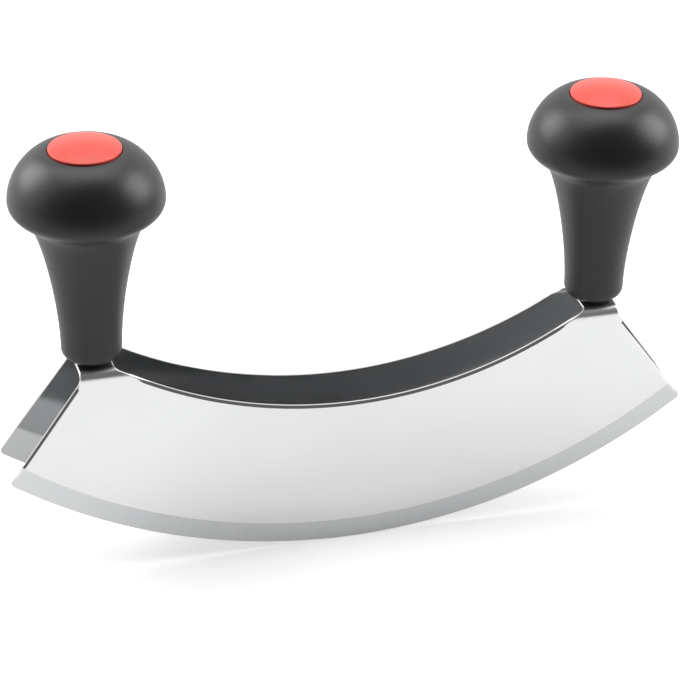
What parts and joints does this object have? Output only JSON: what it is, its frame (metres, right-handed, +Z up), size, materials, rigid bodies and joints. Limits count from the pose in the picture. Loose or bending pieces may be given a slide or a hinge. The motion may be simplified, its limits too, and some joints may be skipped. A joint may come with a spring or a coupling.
{
  "type": "mezzaluna",
  "caption": "Hand rocking chopper with twin parallel curved blades folded from one steel sheet and two upright knob handles with red caps.",
  "frame": {"origin": "on the board, midway between the lowest points of the two cutting edges", "axes": "+X along the blades from the left handle to the right one, +Y from the front blade to the rear one, +Z up"},
  "size_m": [0.23, 0.0494, 0.1511],
  "materials": {
    "blade_steel": "mirror polished faces, satin ground edge band",
    "grip_plastic": "fine matt moulded black",
    "cap_plastic": "smooth satin coral red",
    "seal_rubber": "matt black rubber",
    "fastener_steel": "plain stainless"
  },
  "bodies": {
    "root": {"double_blade": "blade_steel", "left_grip": "grip_plastic", "right_grip": "grip_plastic", "left_cap": "cap_plastic", "right_cap": "cap_plastic", "left_seal_washer": "seal_rubber", "right_seal_washer": "seal_rubber", "left_bolt": "fastener_steel", "right_bolt": "fastener_steel", "left_flat_washer": "fastener_steel", "right_flat_washer": "fastener_steel", "left_lock_washer": "fastener_steel", "right_lock_washer": "fastener_steel", "left_nut": "fastener_steel", "right_nut": "fastener_steel"}
  },
  "joints": []
}
